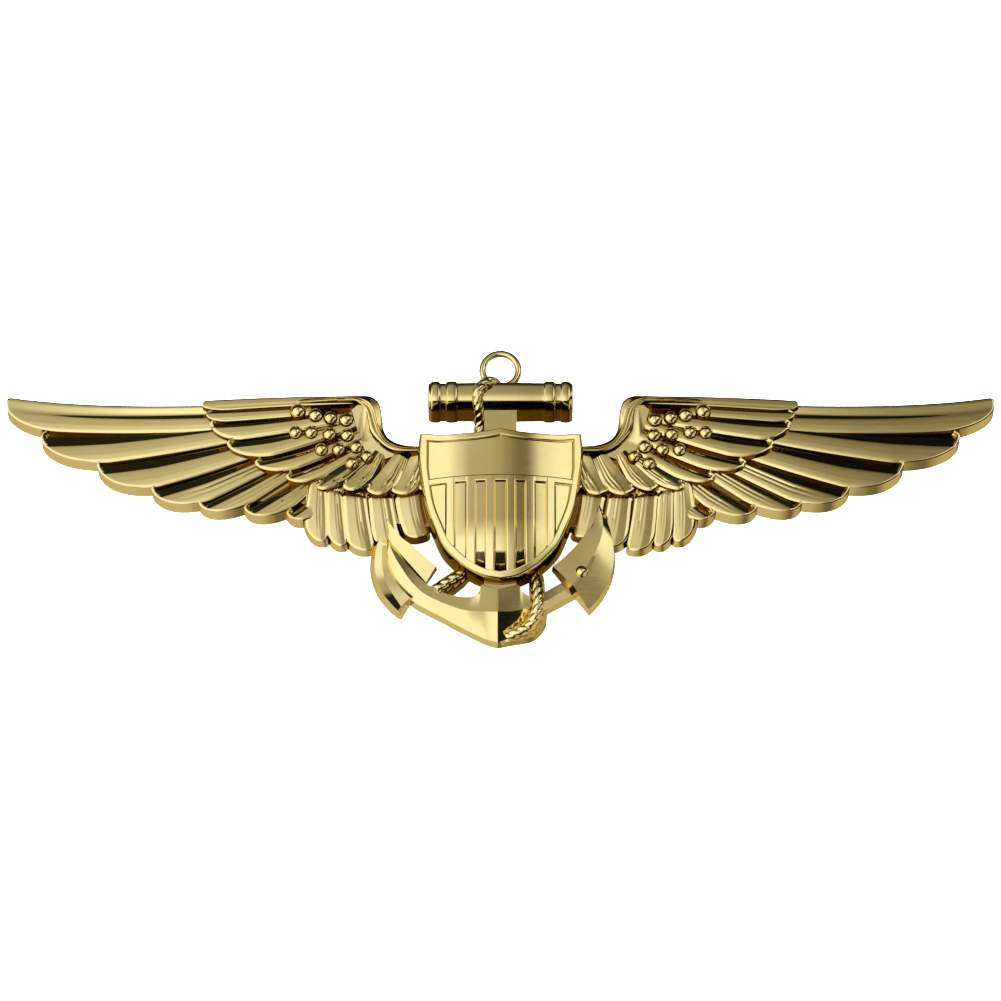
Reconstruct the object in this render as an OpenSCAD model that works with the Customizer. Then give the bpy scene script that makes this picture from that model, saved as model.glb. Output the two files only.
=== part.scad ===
// Winged anchor badge with a shield, fastened by a hinged pin stem and a rolling safety catch.
// The badge lies face up: +X towards the right wing tip, +Y towards the ring, +Z out of the face.
// The origin is under the middle of the badge, on the surface that the pin fittings rest on.

/* [Wings] */
// Middle of the badge to a wing tip
half_span = 34.8; // [30:0.1:40]
// Thickness of the long flight feathers
flight_h = 1.6; // [1.3:0.1:2]
// Thickness of the covert feathers, measured from the same back face
covert_h = 2.1; // [2.1:0.1:2.6]
// Thickness of the rolled leading edge
rim_h = 2.5; // [2.5:0.1:3]
// Depth of the groove along the upper side of each feather
groove_depth = 0.5; // [0.2:0.1:0.8]
// Radius of the round beads on the shoulder
bead_r = 0.46; // [0.35:0.01:0.47]
// Radius that the whole badge is bowed to, so that it lies round a chest
bow_r = 450; // [300:10:900]

/* [Shield] */
// Width of the shield
shield_w = 11.4; // [11:0.1:11.8]
// Height of the shield's edge over the back face
shield_edge_h = 2.9; // [2.6:0.1:3.2]
// Rise of the shield's middle over its edge
shield_rise = 1.2; // [0.8:0.1:1.6]
// Depth of the panels cut into the shield
panel_depth = 0.25; // [0.1:0.05:0.4]

/* [Anchor] */
// Length of the anchor's stock
stock_l = 10; // [9:0.1:11]
// Radius of the stock's barrel
stock_r = 1; // [0.8:0.05:1.1]
// Height of the stock's straight wall under its barrel
stock_wall_h = 1.9; // [1.6:0.1:2.2]
// Thickness of the anchor's shank and arms
anchor_h = 2; // [1.6:0.1:2]
// Thickness of the anchor's two palms
palm_h = 2.5; // [2.2:0.1:2.8]
// Middle radius of the ring
ring_r = 1.27; // [1.1:0.01:1.4]
// Radius of the ring's wire
ring_wire_r = 0.25; // [0.2:0.01:0.3]
// Radius of the rope
rope_r = 0.4; // [0.3:0.01:0.45]

/* [Pin] */
// Distance from the middle to the hinge, and to the catch
pin_reach = 11.5; // [10:0.1:12]
// Where the pin lies across the badge
pin_y = 1.4; // [1:0.1:2]
// Radius of the pin stem
stem_r = 0.45; // [0.35:0.01:0.5]
// Length of the strip soldered across the back
bar_l = 26.4; // [26:0.1:27]
// Width of that strip
bar_w = 4.4; // [4:0.1:5]

/* [Hidden] */
gold = "goldenrod";
steel = "lightsteelblue";

running = 0.04;      // radial clearance of a running fit
nominal_span = 34.8; // the half span that the feather tables are drawn at

// ---- Curves ----
function mix(a, b, t) = a + (b - a) * t;
function unit(v) = v / norm(v);
function left_of(v) = [-v[1], v[0]];
function bezier(r, c, e, t) = mix(mix(r, c, t), mix(c, e, t), t);
function heading(r, c, e, t) = unit(mix(c - r, e - c, t));
function flip(points) = [for (i = [len(points) - 1:-1:0]) points[i]];
// A rounded line through chosen points (Catmull-Rom), with n steps for each span
function through(p, n = 4) = concat([for (i = [0:len(p) - 2], k = [0:n - 1])
    let (a = p[max(i - 1, 0)], b = p[i], c = p[i + 1], d = p[min(i + 2, len(p) - 1)], t = k / n)
    0.5 * (2 * b + (c - a) * t + (2 * a - 5 * b + 4 * c - d) * t * t + (3 * b - a - 3 * c + d) * t * t * t)],
    [p[len(p) - 1]]);
function stretched(p) = [p[0] * half_span / nominal_span, p[1]];
function mirrored(points) = [for (p = points) [-p[0], p[1]]];

// ---- Feathers ----
// Each feather of the left wing is [root, bend, tip, root width, full width, start of the tip's sweep].
// root, bend and tip draw its leading edge. A negative width lies on the other side of that edge.
FLIGHTS = [
    [[-12, 7.7], [-27, 6.9], [-34.7, 8.4], 1.8, 2.15, 0.78],
    [[-14, 6.9], [-24, 5.45], [-32.55, 5.5], 1.3, 2.3, 0.72],
    [[-13, 6.2], [-22, 3.75], [-28.5, 3.3], 1.2, 2.4, 0.7],
    [[-12.5, 5.6], [-19, 2.85], [-24.6, 1.25], 1.1, 2.2, 0.68],
    [[-11.5, 5.2], [-16.5, 2.4], [-21.2, 0], 1, 1.75, 0.66],
    [[-11, 4], [-14.6, 1.7], [-18, -0.45], 0.9, 1.8, 0.6],
    [[-11, 2], [-13, 0.6], [-15, -0.9], 0.9, 1.4, 0.6]
];
SECONDARIES = [
    [[-12.3, 1.6], [-12.1, -0.8], [-12.1, -2.9], -1.2, -1.7, 0.5],
    [[-11.2, 1.6], [-11, -0.8], [-10.7, -3.2], -1.1, -1.4, 0.65],
    [[-9.6, 1.6], [-9.4, -0.8], [-8.8, -3.5], -1.6, -1.9, 0.7],
    [[-7.9, 1.6], [-7.5, -0.6], [-7, -3.3], -1.6, -1.9, 0.7],
    [[-5.6, 1.5], [-5.6, -0.5], [-4.9, -2.4], -2, -1.9, 0.8]
];
COVERTS = [
    [[-9.5, 7.7], [-15, 7.75], [-21.1, 7.5], 0.45, 0.7, 0.85],
    [[-10, 7.4], [-15.5, 6.9], [-20.8, 6.8], 0.5, 0.8, 0.8],
    [[-10, 6.9], [-15.5, 6.15], [-20.5, 6.05], 0.6, 1.5, 0.7],
    [[-9.5, 6.5], [-14.5, 4.8], [-19.3, 4.5], 0.8, 1.5, 0.68],
    [[-9, 5.8], [-13.2, 3.6], [-17.3, 2.95], 0.8, 1.25, 0.65],
    [[-8.8, 4.9], [-11.8, 2.9], [-15.1, 1.8], 0.7, 1.15, 0.62],
    [[-8.6, 4.2], [-10.8, 2.4], [-13, 1.05], 0.6, 1, 0.55],
    [[-8, 3.6], [-9.5, 2.2], [-11.1, 0.95], 0.7, 1.2, 0.5],
    [[-7.3, 3.4], [-8.2, 2], [-9.4, 0.65], 1, 1.5, 0.5],
    [[-6, 3.4], [-6.8, 2], [-7.7, 0.6], 1.2, 1.7, 0.5],
    [[-4.6, 3.4], [-5, 2], [-5.9, 0.9], 1.3, 1.7, 0.5]
];
BEADS = [[-14.3, 6.3], [-13, 6], [-12, 5.9], [-10.9, 5.8], [-14.3, 5], [-13.3, 5], [-12, 4.9],
         [-10.8, 4.8], [-12.5, 3.7], [-11.4, 3.7], [-10.1, 4], [-9.3, 3.1], [-10.4, 2.7]];
corner_r = 0.35; // rounding of a feather's tip

function full_width(f, t) = mix(f[3], f[4], min(t / f[5], 1));
// A point t of the way along the feather, w across it from its leading edge
function blade_point(f, t, w) = bezier(f[0], f[1], f[2], t) + w * left_of(heading(f[0], f[1], f[2], t));
function lead_edge(f) = let (b = 1 - corner_r / norm(f[2] - f[0]), r = corner_r * sign(f[4])) concat(
    [for (t = [0:0.125:0.99]) if (t < b) blade_point(f, t, 0)],
    [for (a = [0:22.5:90]) blade_point(f, mix(b, 1, sin(a)), r * (1 - cos(a)))]);
function trail_edge(f, share = 1) = let (r = corner_r * sign(f[4])) concat(
    [for (t = [0:0.2:0.99]) if (t < f[5]) blade_point(f, t, share * full_width(f, t))],
    [for (a = [0:11.25:90]) blade_point(f, mix(f[5], 1, sin(a)), mix(r, share * f[4], cos(a)))]);
function blade(f) = concat(lead_edge(f), flip(trail_edge(f)));
groove_share = 0.4; // share of a feather's width that its groove takes
groove_end = 0.94;  // how far along the feather its groove runs
function groove(f) = concat(
    [for (t = [0:0.1:groove_end]) blade_point(f, t, 0.08 * full_width(f, t))],
    [for (t = [groove_end:-0.1:0]) blade_point(f, t, groove_share * full_width(f, t))]);

// ---- Bow: the front is cut to a shell that curves round an axis along Y ----
back_z = 4.6;   // back face of the badge over the table, at x = 0
full_depth = 60; // longer than the badge along Y
through_l = 10;  // longer than any bore in the pin fittings
tall = 12;       // taller than the whole part
module bow_cylinder(h) {
    translate([0, 0, back_z - bow_r]) rotate([90, 0, 0])
        cylinder(r = bow_r + h, h = full_depth, center = true, $fn = 720);
}
function bow_drop(x) = bow_r - sqrt(bow_r * bow_r - x * x);
// A flat outline as a plate with a bowed back at height low and a bowed face at height high
module plate(high, low = 0) {
    difference() {
        intersection() {
            linear_extrude(tall) children();
            bow_cylinder(high);
        }
        bow_cylinder(low);
    }
}
// The outlines are drawn about the middle of the shield. This brings the whole badge to the origin.
ring_y = 9.8; // middle of the ring
crown_y = -10.5; // lowest point of the crown
module centred() {
    translate([0, -(ring_y + ring_r + ring_wire_r + crown_y) / 2, 0]) children();
}

// ---- Wings ----
// The wing's root, which runs in under the shield as far as the shank and fills in between feathers
ROOT = [[-1.2, 3.6], [-7.5, 3.8], [-8.6, 5], [-8.9, 7.3], [-14, 7.3], [-17, 2], [-17.2, 0.2],
        [-14.2, 0.1], [-12.4, -0.9], [-7.3, -1.6], [-5.6, -2], [-1.2, -1.6]];
RIM_OUTER = [[-17, 7.42], [-13, 7.66], [-10, 7.75], [-9.2, 7.68], [-8.65, 7.3], [-8.4, 6.5], [-8.35, 5.6],
             [-8.05, 4.7], [-7.5, 4.2], [-6.8, 3.95], [-5.9, 3.85], [-4, 3.85]];
RIM_INNER = [[-17, 7.3], [-13, 7.35], [-10.2, 7.3], [-9.7, 7.05], [-9.4, 6.5], [-9.3, 5.8], [-9.05, 4.9],
             [-8.5, 4.05], [-7.8, 3.55], [-7, 3.35], [-5.9, 3.35], [-4, 3.35]];
RIM = concat(through(RIM_OUTER, 3), flip(through(RIM_INNER, 3)));
module blades(feathers) {
    for (f = feathers) polygon([for (p = blade(f)) stretched(p)]);
}
module groove_outline(f) {
    polygon([for (p = groove(f)) stretched(p)]);
}
module wing_outline() {
    blades(FLIGHTS);
    blades(SECONDARIES);
    polygon(ROOT);
    polygon(RIM);
}
// A left-hand wing. Its child is the outline of what it makes room for.
module wing() {
    difference() {
        plate(flight_h) difference() {
            wing_outline();
            children();
        }
        for (f = FLIGHTS) plate(tall, flight_h - groove_depth) groove_outline(f);
    }
    plate(covert_h, flight_h / 2) difference() {
        blades(COVERTS);
        shield_outline();
    }
    plate(rim_h, flight_h / 2) difference() {
        polygon(RIM);
        shield_outline();
    }
    plate(anchor_h, flight_h / 2) difference() {
        intersection() {
            polygon(ROOT);
            shield_outline();
        }
        children();
    }
    plate(covert_h + bead_r, flight_h / 2) for (b = BEADS) translate(b) circle(bead_r, $fn = 32);
}
module left_wing() {
    color(gold) centred() wing() {
        polygon(LEFT_PALM);
    }
}
module right_wing() {
    color(gold) centred() mirror([1, 0, 0]) wing() {
        mirror([1, 0, 0]) polygon(RIGHT_PALM);
    }
}

// ---- Shield ----
SHIELD_SIDE = [[0, 4.45], [1, 4.28], [2.2, 4.18], [4, 4.2], [5.1, 4.42], [5.6, 4.52], [5.7, 3], [5.5, 1.13],
               [5.15, -0.95], [4.55, -2.7], [3.95, -4.04], [2.95, -5.13], [2, -5.79], [1.1, -6.18], [0, -6.36]];
drawn_w = 11.4;  // the width and height that the shield's outline is drawn at
drawn_h = 10.88;
border = 0.45; // width of the shield's raised border
bar_top = 0.97; // the raised bar between the upper panel and the pales
bar_low = 0.53;
PALES = [[-0.42, 0.42], [1.05, 1.75], [2.4, 3.2], [3.8, 5]]; // sunk strips, from the middle out
function on_shield(p) = [p[0] * shield_w / drawn_w, p[1]];
function shield_edge() = [for (p = SHIELD_SIDE) on_shield(p)];
// The outline drawn in by the border's width, towards the middle of the shield's height
function inset(p) = let (middle = (SHIELD_SIDE[5][1] + SHIELD_SIDE[14][1]) / 2)
    [p[0] * (1 - 2 * border / drawn_w), middle + (p[1] - middle) * (1 - 2 * border / drawn_h)];
function both_sides(p) = concat(p, [for (i = [len(p) - 2:-1:1]) [-p[i][0], p[i][1]]]);
module shield_outline() {
    polygon(both_sides(shield_edge()));
}
module shield_panels() {
    intersection() {
        polygon(both_sides([for (p = shield_edge()) inset(p)]));
        union() {
            translate([-shield_w, bar_top]) square([2 * shield_w, drawn_h]);
            for (p = PALES, side = [0, 1]) mirror([side, 0])
                translate([p[0], bar_low - drawn_h]) square([p[1] - p[0], drawn_h]);
        }
    }
}
shield_dome_r = (shield_w * shield_w / 4 + shield_rise * shield_rise) / (2 * shield_rise);
// Everything under a dome that is curved round an axis along Y, depth below the shield's face
module dome(depth) {
    translate([0, 0, back_z + shield_edge_h + shield_rise - shield_dome_r]) rotate([90, 0, 0])
        cylinder(r = shield_dome_r - depth, h = full_depth, center = true, $fn = 180);
}
module shield() {
    color(gold) centred() difference() {
        intersection() {
            translate([0, 0, back_z + anchor_h]) linear_extrude(tall) shield_outline();
            dome(0);
        }
        difference() {
            linear_extrude(tall) shield_panels();
            dome(panel_depth);
        }
    }
}

// ---- Anchor ----
// The shank and crown, and each arm's edges from the crown outwards
SHANK = [[-1.2, 6.6], [1.2, 6.6], [1.2, -6], [1.6, -7.3], [3.2, -7], [3.4, -8.4], [3.05, -9.2], [2.3, -10],
         [1, -10.3], [0, crown_y], [-1, -10.2], [-3, -8.8], [-3, -7.2], [-1.7, -6.8], [-1.2, -6]];
LEFT_ARM = concat(
    through([[-2.2, -7.25], [-3.5, -7.1], [-4.8, -6.5], [-5.8, -5.65], [-6.8, -4.35], [-7.5, -3.3], [-8, -2]], 3),
    through([[-8.1, -2.95], [-8, -4], [-7.6, -5.1], [-7, -6.2], [-6.2, -7.15], [-5.5, -7.7], [-4, -8.4],
             [-2.5, -9.1]], 3));
RIGHT_ARM = [[2.9, -7.1], [5.4, -5.9], [5.9, -7], [3.2, -8.55]];
LEFT_PALM = concat(through([[-7.9, -1.6], [-8.7, -2.3], [-9, -3.4], [-9.05, -4.6], [-8.7, -6], [-8.2, -7.1],
    [-7.6, -7.8], [-6.9, -8.35]], 2), [[-6.5, -7.6], [-4.4, -5.6], [-4.3, -5], [-5, -4.5], [-6, -3.7],
    [-7, -2.7]]);
RIGHT_PALM = concat(through([[6.9, -0.7], [7.4, -1.8], [7.8, -3.2], [7.95, -4.5], [7.8, -5.6], [7.3, -6.7],
    [6.7, -7.6], [6.1, -8.2]], 2), [[5, -6.7], [3.7, -5.2], [4.4, -4.4], [5.2, -3.6], [6, -2.7], [6.6, -1.4]]);
BOSS = [5.6, -5.3];
boss_r = 0.5;
boss_shaft_r = 0.3;
boss_foot = 0.2; // the shaft ends this far short of the badge's back
left_palm_h = 1.3; // the left palm lies lower, behind its arm
module anchor_shank() {
    color(gold) centred() {
        plate(anchor_h) polygon(SHANK);
        plate(anchor_h, left_palm_h) polygon(LEFT_ARM);
        plate(left_palm_h) difference() {
            polygon(LEFT_ARM);
            polygon(LEFT_PALM);
        }
        plate(anchor_h) difference() {
            polygon(RIGHT_ARM);
            polygon(RIGHT_PALM);
        }
    }
}
module left_palm() {
    color(gold) centred() plate(left_palm_h) polygon(LEFT_PALM);
}
module right_palm() {
    color(gold) centred() difference() {
        plate(palm_h) polygon(RIGHT_PALM);
        translate([BOSS[0], BOSS[1], 0]) cylinder(r = boss_shaft_r, h = tall, $fn = 48);
    }
}
module palm_rivet() {
    color(gold) centred() translate([BOSS[0], BOSS[1], back_z + palm_h - bow_drop(BOSS[0])]) {
        intersection() {
            sphere(boss_r, $fn = 48);
            cylinder(r = boss_r, h = boss_r, $fn = 48);
        }
        translate([0, 0, boss_foot - palm_h]) cylinder(r = boss_shaft_r, h = palm_h, $fn = 48);
    }
}

stock_y = 7.6;        // the stock's axis
COLLARS = [0.67, 0.89]; // where each collar stands, as a share of the way from the middle to an end
collar_w = 0.35;
collar_over = 0.1; // how far a collar stands out from the barrel
// The stock's cross-section: a barrel on a straight-sided wall
module stock_bar(r, length) {
    translate([-length / 2, stock_y, back_z]) rotate([90, 0, 90]) linear_extrude(length) {
        translate([0, stock_wall_h]) circle(r, $fn = 64);
        translate([-r, 0]) square([2 * r, stock_wall_h]);
    }
}
module anchor_stock() {
    color(gold) centred() {
        stock_bar(stock_r, stock_l);
        for (share = COLLARS, side = [-1, 1]) translate([side * share * stock_l / 2, 0, 0])
            stock_bar(stock_r + collar_over, collar_w);
    }
}
ring_h = 1.5; // height of the ring's middle over the back face
module anchor_ring() {
    color(gold) centred() translate([0, ring_y, back_z + ring_h])
        rotate_extrude($fn = 96) translate([ring_r, 0]) circle(ring_wire_r, $fn = 32);
}

// The rope's runs: over the stock and down beside the shank, round the right arm, and to the left arm
ROPE_OVER = [[-0.3, 8.7, 2.1], [-0.8, 8.6, 2.9], [-1.4, 8.2, 3.2], [-1.7, 7.6, 3.3], [-1.7, 6.9, 3],
             [-1.65, 6.35, 2.4], [-1.6, 5.8, 1.8], [-1.6, 5.2, 1.6], [-1.6, 4.4, 1.5]];
ROPE_RIGHT = [[2.2, -5.2, 1.5], [2.4, -5.9, 1.9], [2.6, -6.9, 2.2], [2.65, -8, 2.3], [2.4, -9, 2.1],
              [1.9, -9.6, 1.8], [1.2, -9.9, 1.6], [0.5, -10.1, 1.3]];
ROPE_LEFT = [[-2.2, -4.9, 1.4], [-2.8, -5.6, 1.6], [-3.6, -6.1, 1.6], [-4.5, -6.7, 1.5]];
rope_sides = 12;
rope_lay = 55; // turn of the strands for each step along the rope, in degrees
strands = 3;
strand_bulge = 0.12; // share of the radius that a strand stands out
// The tube along a route: a lobed cross-section that turns as it goes
module rope(route) {
    line = through(route, 4);
    last = len(line) - 1;
    function forward(i) = unit(line[min(i + 1, last)] - line[max(i - 1, 0)]);
    function across(i) = unit(cross(forward(i), [1, 0.02, 0.03]));
    function lobe(a) = rope_r * (1 + strand_bulge * (cos(strands * a) - 1));
    points = [for (i = [0:last], k = [0:rope_sides - 1]) let (a = 360 * k / rope_sides, u = across(i))
        line[i] + lobe(a + i * rope_lay) * (cos(a) * u + sin(a) * cross(forward(i), u))
        + [0, 0, back_z]];
    faces = concat([[for (k = [0:rope_sides - 1]) k]],
        [for (i = [0:last - 1], k = [0:rope_sides - 1]) let (m = (k + 1) % rope_sides, a = i * rope_sides)
            each [[a + k, a + rope_sides + k, a + rope_sides + m], [a + k, a + rope_sides + m, a + m]]],
        [[for (k = [rope_sides - 1:-1:0]) last * rope_sides + k]]);
    polyhedron(points, faces, convexity = 4);
}
module anchor_rope() {
    color(gold) centred() {
        rope(ROPE_OVER);
        rope(ROPE_RIGHT);
        rope(ROPE_LEFT);
    }
}

// ---- Pin fittings ----
bar_t = 0.6;         // thickness of the strip across the back
pin_z = 1.8;         // height of the stem's axis over the table
stem_point = 4;      // length of the stem's point
tip_r = 0.06;        // the point's blunt end
stem_over = 2;       // how far the stem reaches past the middle of the catch
eye_r = 1.1;         // the stem's flattened eye
eye_w = 1.4;
rivet_r = 0.42;
rivet_head_r = 0.8;
rivet_face_r = 0.6;  // flat end of the rivet's head
rivet_head_t = 0.3;
ear_gap = 0.05;      // end play of the eye between the ears
ear_in = eye_w / 2 + ear_gap;
ear_t = 0.6;
ear_l = 2.4;
eye_room = 0.4;      // room over the eye, under the bracket's web
catch_l = 2.6;
catch_r = pin_z;     // the catch's bottom is level with the ears'
catch_bore_r = 1.2;
catch_slot = 1.3;
sleeve_r = catch_bore_r - running;
sleeve_bore_r = 0.65;
sleeve_flange_r = 1.5;
sleeve_flange_t = 0.45;
lug_r = 1.75;        // the sleeve's thumb lugs reach out to here
lug_w = 0.8;
sleeve_gap = 0.06;   // end play between a flange and the catch
module at_pin(x) {
    translate([x, pin_y, pin_z]) children();
}
module under_bar() {
    intersection() {
        children();
        bow_cylinder(-bar_t);
    }
}
module back_bar() {
    color(gold) centred() plate(0, -bar_t) translate([0, pin_y]) {
        square([bar_l - bar_w, bar_w], center = true);
        for (side = [-1, 1]) translate([side * (bar_l - bar_w) / 2, 0]) circle(bar_w / 2, $fn = 48);
    }
}
module hinge_bracket() {
    color(gold) centred() under_bar() translate([-pin_reach, pin_y, 0]) difference() {
        union() {
            for (side = [0, 1]) mirror([0, side, 0]) translate([-ear_l / 2, ear_in, 0])
                cube([ear_l, ear_t, back_z]);
            translate([-ear_l / 2, -ear_in - ear_t, pin_z + eye_r + eye_room])
                cube([ear_l, 2 * (ear_in + ear_t), back_z]);
        }
        translate([0, 0, pin_z]) rotate([90, 0, 0]) cylinder(r = rivet_r, h = through_l, center = true, $fn = 48);
    }
}
module hinge_rivet() {
    rivet_l = 2 * (ear_in + ear_t);
    color(steel) centred() at_pin(-pin_reach) rotate([90, 0, 0]) {
        cylinder(r = rivet_r, h = rivet_l, center = true, $fn = 48);
        for (side = [0, 1]) mirror([0, 0, side]) translate([0, 0, rivet_l / 2])
            cylinder(r1 = rivet_head_r, r2 = rivet_face_r, h = rivet_head_t, $fn = 48);
    }
}
module pin_stem() {
    stem_l = 2 * pin_reach + stem_over;
    color(steel) centred() at_pin(-pin_reach) difference() {
        union() {
            rotate([0, 90, 0]) cylinder(r = stem_r, h = stem_l - stem_point, $fn = 48);
            translate([stem_l - stem_point, 0, 0]) rotate([0, 90, 0])
                cylinder(r1 = stem_r, r2 = tip_r, h = stem_point, $fn = 48);
            rotate([90, 0, 0]) cylinder(r = eye_r, h = eye_w, center = true, $fn = 64);
        }
        rotate([90, 0, 0]) cylinder(r = rivet_r + running, h = through_l, center = true, $fn = 48);
    }
}
module catch_body() {
    color(gold) centred() difference() {
        union() {
            at_pin(pin_reach) rotate([0, 90, 0]) cylinder(r = catch_r, h = catch_l, center = true, $fn = 96);
            under_bar() translate([pin_reach - catch_l / 2, pin_y - catch_r, pin_z])
                cube([catch_l, 2 * catch_r, back_z]);
        }
        at_pin(pin_reach) rotate([0, 90, 0])
            cylinder(r = catch_bore_r, h = catch_l + 1, center = true, $fn = 96);
        translate([pin_reach - catch_l, pin_y - catch_slot / 2, -1]) cube([2 * catch_l, catch_slot, pin_z + 1]);
    }
}
module catch_sleeve() {
    sleeve_l = catch_l + 2 * sleeve_gap;
    color(gold) centred() at_pin(pin_reach) difference() {
        rotate([0, 90, 0]) union() {
            cylinder(r = sleeve_r, h = sleeve_l, center = true, $fn = 96);
            for (side = [0, 1]) mirror([0, 0, side]) translate([0, 0, sleeve_l / 2]) {
                cylinder(r = sleeve_flange_r, h = sleeve_flange_t, $fn = 96);
                intersection() {
                    cylinder(r = lug_r, h = sleeve_flange_t, $fn = 96);
                    translate([-lug_w / 2, 0, 0]) cube([lug_w, lug_r, sleeve_flange_t]);
                }
            }
        }
        rotate([0, 90, 0]) cylinder(r = sleeve_bore_r, h = through_l, center = true, $fn = 64);
        translate([-through_l / 2, -sleeve_bore_r, -through_l]) cube([through_l, 2 * sleeve_bore_r, through_l]);
    }
}

left_wing();
right_wing();
shield();
anchor_shank();
anchor_stock();
anchor_ring();
anchor_rope();
left_palm();
right_palm();
palm_rivet();
back_bar();
hinge_bracket();
hinge_rivet();
pin_stem();
catch_body();
catch_sleeve();
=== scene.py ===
"""Winged anchor badge: the front is rebuilt as fine relief, the pin fittings keep their CAD shapes."""
import math

import bmesh
import bpy
import numpy as np
from mathutils import Matrix, Vector
from mathutils.bvhtree import BVHTree


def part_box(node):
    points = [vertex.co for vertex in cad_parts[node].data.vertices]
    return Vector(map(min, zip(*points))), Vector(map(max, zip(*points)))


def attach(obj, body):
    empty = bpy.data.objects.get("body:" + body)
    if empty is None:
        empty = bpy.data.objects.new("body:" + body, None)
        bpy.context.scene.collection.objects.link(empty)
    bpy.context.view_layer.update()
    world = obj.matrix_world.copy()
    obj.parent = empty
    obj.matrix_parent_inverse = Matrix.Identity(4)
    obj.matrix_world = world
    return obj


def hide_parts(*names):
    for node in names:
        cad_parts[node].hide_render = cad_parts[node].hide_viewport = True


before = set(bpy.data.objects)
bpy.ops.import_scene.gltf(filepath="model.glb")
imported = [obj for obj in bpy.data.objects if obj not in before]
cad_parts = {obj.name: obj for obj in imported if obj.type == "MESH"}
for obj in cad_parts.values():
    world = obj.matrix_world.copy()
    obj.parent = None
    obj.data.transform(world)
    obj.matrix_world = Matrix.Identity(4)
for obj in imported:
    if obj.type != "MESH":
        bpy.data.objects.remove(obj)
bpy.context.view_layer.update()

# ---------------------------------------------------------------- frame of the badge
# The relief is drawn in millimetres as (x, y, h): h is the height over the badge's bowed back.
# y is drawn about the middle of the shield, so SHIFT_Y and BACK_Z carry it into the CAD frame.
MM = 0.001
BOW_R = 450.0  # radius that the wings are bowed to, round the wearer's chest
RING_Y = 9.8  # middle of the anchor's ring, on the drawing
VIEW_ELEVATION = math.radians(68)  # of the camera over the badge's back, from the wearer's feet
ring_low, ring_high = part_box("anchor_ring")
SHIFT_Y = (ring_low[1] + ring_high[1]) / 2 / MM - RING_Y
BACK_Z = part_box("back_bar")[1][2] / MM
FRONT = ["left_wing", "right_wing", "shield", "anchor_shank", "anchor_stock", "anchor_ring", "anchor_rope",
         "left_palm", "right_palm", "palm_rivet"]


def place(points):
    """Badge points in mm, bowed round the chest and put in the CAD frame in metres."""
    p = np.asarray(points, float)
    drop = BOW_R - np.sqrt(BOW_R**2 - p[..., 0] ** 2)
    return np.stack([p[..., 0], p[..., 1] + SHIFT_Y, p[..., 2] + BACK_Z - drop], -1) * MM


# ---------------------------------------------------------------- curves
def mix(a, b, t):
    return a + (b - a) * t


def smooth(x, low, high):
    """0 below low, 1 above high, and an S-curve between. high may be the smaller one."""
    t = np.clip((np.asarray(x, float) - low) / (high - low), 0, 1)
    return t * t * (3 - 2 * t)


def unit(v):
    return v / np.maximum(np.linalg.norm(v, axis=-1, keepdims=True), 1e-9)


def left_of(v):
    return np.stack([-v[..., 1], v[..., 0]], -1)


def through(points, steps=8):
    """A rounded line (Catmull-Rom) through chosen points, with that many steps a span."""
    p = np.asarray(points, float)
    ends = np.vstack([2 * p[0] - p[1], p, 2 * p[-1] - p[-2]])
    out = []
    for i in range(len(p) - 1):
        a, b, c, d = ends[i : i + 4]
        for t in np.arange(steps) / steps:
            out.append(0.5 * (2 * b + (c - a) * t + (2 * a - 5 * b + 4 * c - d) * t * t
                              + (3 * b - a - 3 * c + d) * t**3))
    return np.array(out + [p[-1]])


def resample(line, count):
    """The line as count points spaced evenly along its length."""
    line = np.asarray(line, float)
    far = np.concatenate([[0], np.cumsum(np.linalg.norm(np.diff(line, axis=0), axis=1))])
    at = np.linspace(0, far[-1], count)
    return np.stack([np.interp(at, far, line[:, k]) for k in range(line.shape[1])], -1)


def distance_to(line, xy):
    """Shortest distance from each point to a polyline in the plane."""
    a, b = line[:-1], line[1:]
    along = b - a
    length = np.maximum((along**2).sum(-1), 1e-12)
    best = np.full(xy.shape[:-1], 1e9)
    for k in range(len(a)):
        t = np.clip(((xy - a[k]) @ along[k]) / length[k], 0, 1)
        best = np.minimum(best, np.linalg.norm(xy - (a[k] + t[..., None] * along[k]), axis=-1))
    return best


# ---------------------------------------------------------------- solids
def sheet_solid(top, low=0.0, draft=0.08, closed=False):
    """A closed solid (points, faces): a grid of top points, walls that lean out by draft, a flat underside.

    top is rows x columns x 3. With closed, the last row joins the first, as round a border."""
    rows, cols = top.shape[:2]
    grid = np.arange(rows * cols).reshape(rows, cols)
    points = [top.reshape(-1, 3)]
    nxt = np.roll(grid, -1, axis=0) if closed else grid[1:]
    cur = grid if closed else grid[:-1]
    faces = [(a, b, c, d) for a, b, c, d in zip(cur[:, :-1].ravel(), cur[:, 1:].ravel(),
                                                nxt[:, 1:].ravel(), nxt[:, :-1].ravel())]
    base = rows * cols
    feet = []
    for edge, inner in ((0, 1), (cols - 1, cols - 2)):
        out = unit(top[:, edge, :2] - top[:, inner, :2])
        foot = top[:, edge].copy()
        foot[:, :2] += out * draft
        foot[:, 2] = low
        feet.append(foot)
    points += feet
    left, right = base + np.arange(rows), base + rows + np.arange(rows)
    span = rows if closed else rows - 1
    for i in range(span):
        j = (i + 1) % rows
        faces.append((grid[i, 0], grid[j, 0], left[j], left[i]))
        faces.append((grid[j, -1], grid[i, -1], right[i], right[j]))
        faces.append((left[i], left[j], right[j], right[i]))
    if not closed:
        faces.append(tuple(grid[0, ::-1]) + (left[0], right[0]))
        faces.append(tuple(grid[-1]) + (right[-1], left[-1]))
    return np.vstack(points), faces


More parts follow.
